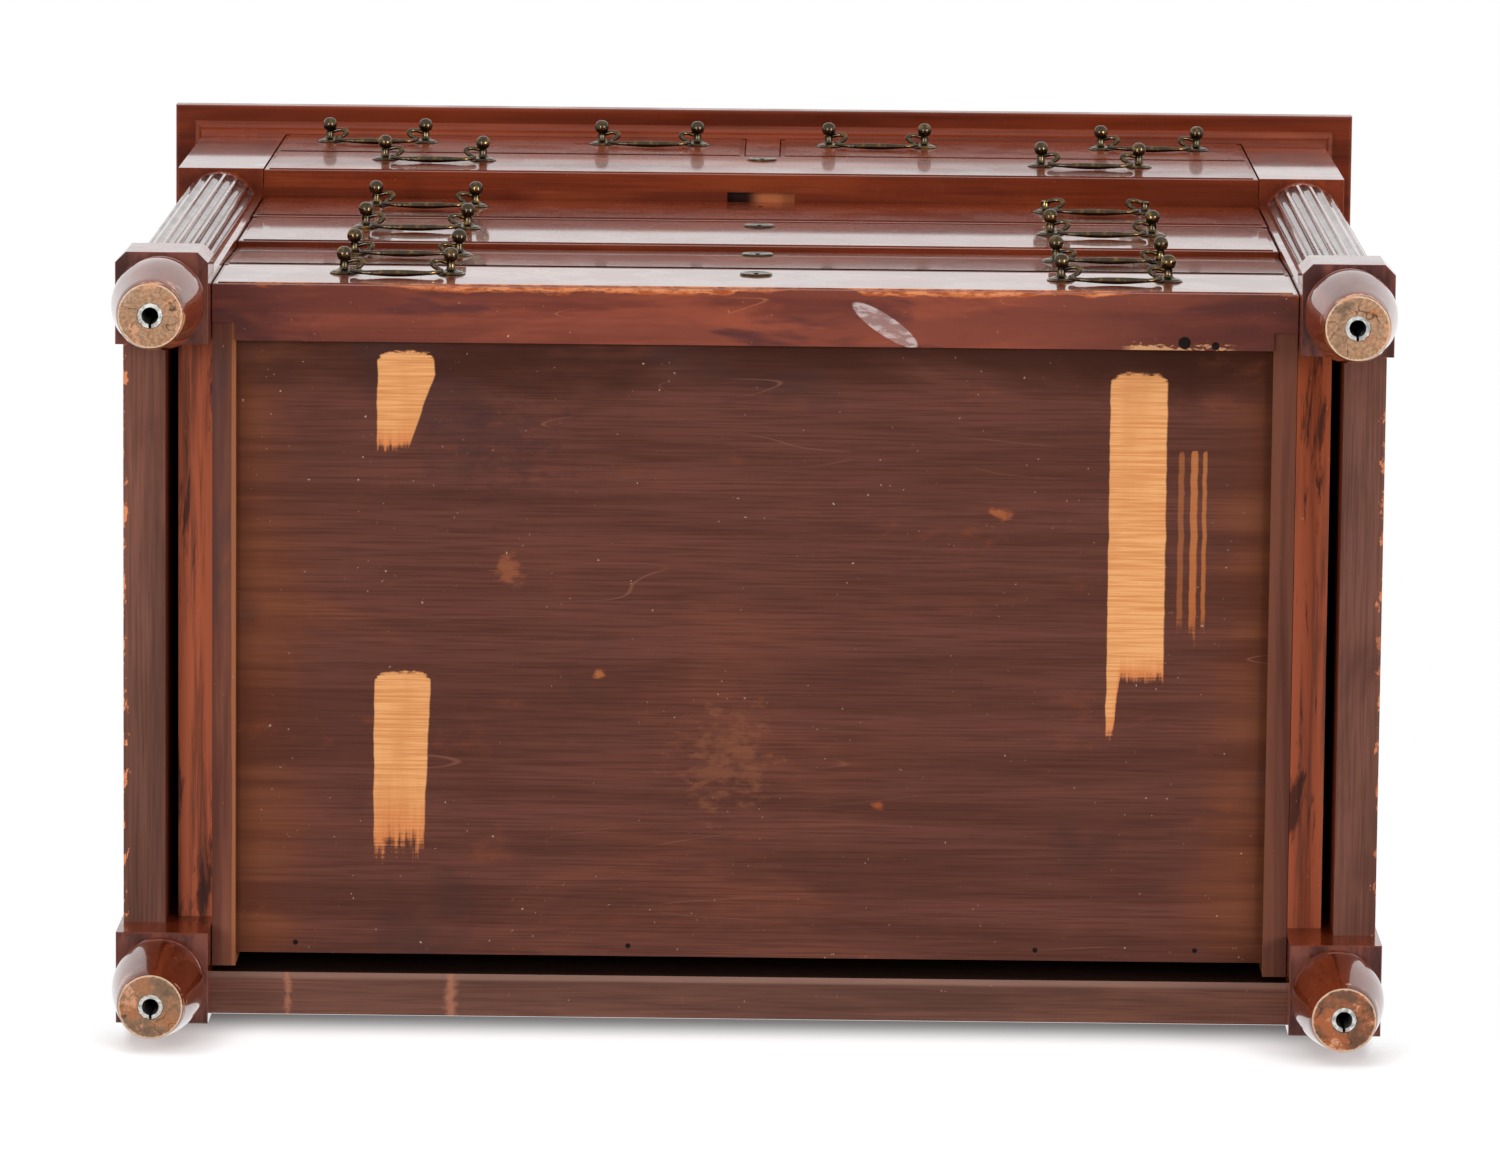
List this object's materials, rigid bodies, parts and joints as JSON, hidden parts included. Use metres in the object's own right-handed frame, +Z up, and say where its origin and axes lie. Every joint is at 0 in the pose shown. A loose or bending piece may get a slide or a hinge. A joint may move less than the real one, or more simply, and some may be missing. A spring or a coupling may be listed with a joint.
{
  "type": "chest of drawers",
  "caption": "Mahogany chest of drawers with fluted corner columns, a projecting frieze of drawers and brass bail handles.",
  "frame": {"origin": "on the floor, in the middle of the bounding box of the closed chest", "axes": "+X to the right of someone facing the front, -Y out of the front, +Z up"},
  "size_m": [0.965, 0.582, 1.055],
  "materials": {
    "polished_mahogany": "french polished mahogany, worn at the edges",
    "secondary_wood": "stained and waxed",
    "drawer_lining": "old oiled timber",
    "old_brass": "dark oxidised brass",
    "socket_steel": "dull worn metal"
  },
  "bodies": {
    "carcass": {"top_board": "polished_mahogany", "top_moulding": "polished_mahogany", "front_left_post": "polished_mahogany", "front_right_post": "polished_mahogany", "rear_left_post": "polished_mahogany", "rear_right_post": "polished_mahogany", "left_side_rails": "polished_mahogany", "right_side_rails": "polished_mahogany", "left_side_panel": "polished_mahogany", "right_side_panel": "polished_mahogany", "back_rails": "secondary_wood", "back_muntin": "secondary_wood", "back_panel": "secondary_wood", "frieze_rail": "secondary_wood", "front_rails": "secondary_wood", "drawer_runners": "secondary_wood", "small_drawer_divider": "polished_mahogany", "caster_sockets": "socket_steel"},
    "drawer_1": {"drawer_1_front": "polished_mahogany", "drawer_1_box": "drawer_lining", "drawer_1_bottom": "drawer_lining", "drawer_1_brasses": "old_brass"},
    "drawer_1_left_bail": {"drawer_1_left_bail": "old_brass"},
    "drawer_1_right_bail": {"drawer_1_right_bail": "old_brass"},
    "drawer_2": {"drawer_2_front": "polished_mahogany", "drawer_2_box": "drawer_lining", "drawer_2_bottom": "drawer_lining", "drawer_2_brasses": "old_brass"},
    "drawer_2_left_bail": {"drawer_2_left_bail": "old_brass"},
    "drawer_2_right_bail": {"drawer_2_right_bail": "old_brass"},
    "drawer_3": {"drawer_3_front": "polished_mahogany", "drawer_3_box": "drawer_lining", "drawer_3_bottom": "drawer_lining", "drawer_3_brasses": "old_brass"},
    "drawer_3_left_bail": {"drawer_3_left_bail": "old_brass"},
    "drawer_3_right_bail": {"drawer_3_right_bail": "old_brass"},
    "drawer_4": {"drawer_4_front": "polished_mahogany", "drawer_4_box": "drawer_lining", "drawer_4_bottom": "drawer_lining", "drawer_4_brasses": "old_brass"},
    "drawer_4_left_bail": {"drawer_4_left_bail": "old_brass"},
    "drawer_4_right_bail": {"drawer_4_right_bail": "old_brass"},
    "drawer_5": {"drawer_5_front": "polished_mahogany", "drawer_5_box": "drawer_lining", "drawer_5_bottom": "drawer_lining", "drawer_5_brasses": "old_brass"},
    "drawer_5_left_bail": {"drawer_5_left_bail": "old_brass"},
    "drawer_5_right_bail": {"drawer_5_right_bail": "old_brass"},
    "left_small_drawer": {"left_small_drawer_front": "polished_mahogany", "left_small_drawer_box": "drawer_lining", "left_small_drawer_bottom": "drawer_lining", "left_small_drawer_brasses": "old_brass"},
    "left_small_drawer_left_bail": {"left_small_drawer_left_bail": "old_brass"},
    "left_small_drawer_right_bail": {"left_small_drawer_right_bail": "old_brass"},
    "right_small_drawer": {"right_small_drawer_front": "polished_mahogany", "right_small_drawer_box": "drawer_lining", "right_small_drawer_bottom": "drawer_lining", "right_small_drawer_brasses": "old_brass"},
    "right_small_drawer_left_bail": {"right_small_drawer_left_bail": "old_brass"},
    "right_small_drawer_right_bail": {"right_small_drawer_right_bail": "old_brass"}
  },
  "joints": [
    {"name": "drawer_1_slide", "type": "slide", "parent": "carcass", "child": "drawer_1", "axis": [0, -1, 0], "range_m": [0, 0.38]},
    {"name": "drawer_1_left_bail_swing", "type": "hinge", "parent": "drawer_1", "child": "drawer_1_left_bail", "pos_m": [-0.26033, -0.25321, 0.2094], "axis": [-1, 0, 0], "range_deg": [0, 100]},
    {"name": "drawer_1_right_bail_swing", "type": "hinge", "parent": "drawer_1", "child": "drawer_1_right_bail", "pos_m": [0.26033, -0.25321, 0.2094], "axis": [-1, 0, 0], "range_deg": [0, 100]},
    {"name": "drawer_2_slide", "type": "slide", "parent": "carcass", "child": "drawer_2", "axis": [0, -1, 0], "range_m": [0, 0.38]},
    {"name": "drawer_2_left_bail_swing", "type": "hinge", "parent": "drawer_2", "child": "drawer_2_left_bail", "pos_m": [-0.26033, -0.2498, 0.34964], "axis": [-1, 0, 0], "range_deg": [0, 100]},
    {"name": "drawer_2_right_bail_swing", "type": "hinge", "parent": "drawer_2", "child": "drawer_2_right_bail", "pos_m": [0.26033, -0.2498, 0.34964], "axis": [-1, 0, 0], "range_deg": [0, 100]},
    {"name": "drawer_3_slide", "type": "slide", "parent": "carcass", "child": "drawer_3", "axis": [0, -1, 0], "range_m": [0, 0.38]},
    {"name": "drawer_3_left_bail_swing", "type": "hinge", "parent": "drawer_3", "child": "drawer_3_left_bail", "pos_m": [-0.26033, -0.2545, 0.51219], "axis": [-1, 0, 0], "range_deg": [0, 100]},
    {"name": "drawer_3_right_bail_swing", "type": "hinge", "parent": "drawer_3", "child": "drawer_3_right_bail", "pos_m": [0.26033, -0.2545, 0.51219], "axis": [-1, 0, 0], "range_deg": [0, 100]},
    {"name": "drawer_4_slide", "type": "slide", "parent": "carcass", "child": "drawer_4", "axis": [0, -1, 0], "range_m": [0, 0.38]},
    {"name": "drawer_4_left_bail_swing", "type": "hinge", "parent": "drawer_4", "child": "drawer_4_left_bail", "pos_m": [-0.26033, -0.25591, 0.66295], "axis": [-1, 0, 0], "range_deg": [0, 100]},
    {"name": "drawer_4_right_bail_swing", "type": "hinge", "parent": "drawer_4", "child": "drawer_4_right_bail", "pos_m": [0.26033, -0.25591, 0.66295], "axis": [-1, 0, 0], "range_deg": [0, 100]},
    {"name": "drawer_5_slide", "type": "slide", "parent": "carcass", "child": "drawer_5", "axis": [0, -1, 0], "range_m": [0, 0.38]},
    {"name": "drawer_5_left_bail_swing", "type": "hinge", "parent": "drawer_5", "child": "drawer_5_left_bail", "pos_m": [-0.26033, -0.278, 0.80451], "axis": [-1, 0, 0], "range_deg": [0, 100]},
    {"name": "drawer_5_right_bail_swing", "type": "hinge", "parent": "drawer_5", "child": "drawer_5_right_bail", "pos_m": [0.26033, -0.278, 0.80451], "axis": [-1, 0, 0], "range_deg": [0, 100]},
    {"name": "left_small_drawer_slide", "type": "slide", "parent": "carcass", "child": "left_small_drawer", "axis": [0, -1, 0], "range_m": [0, 0.38]},
    {"name": "left_small_drawer_left_bail_swing", "type": "hinge", "parent": "left_small_drawer", "child": "left_small_drawer_left_bail", "pos_m": [-0.31243, -0.278, 0.94951], "axis": [-1, 0, 0], "range_deg": [0, 100]},
    {"name": "left_small_drawer_right_bail_swing", "type": "hinge", "parent": "left_small_drawer", "child": "left_small_drawer_right_bail", "pos_m": [-0.09197, -0.278, 0.94951], "axis": [-1, 0, 0], "range_deg": [0, 100]},
    {"name": "right_small_drawer_slide", "type": "slide", "parent": "carcass", "child": "right_small_drawer", "axis": [0, -1, 0], "range_m": [0, 0.38]},
    {"name": "right_small_drawer_left_bail_swing", "type": "hinge", "parent": "right_small_drawer", "child": "right_small_drawer_left_bail", "pos_m": [0.09197, -0.278, 0.94951], "axis": [-1, 0, 0], "range_deg": [0, 100]},
    {"name": "right_small_drawer_right_bail_swing", "type": "hinge", "parent": "right_small_drawer", "child": "right_small_drawer_right_bail", "pos_m": [0.31243, -0.278, 0.94951], "axis": [-1, 0, 0], "range_deg": [0, 100]}
  ]
}
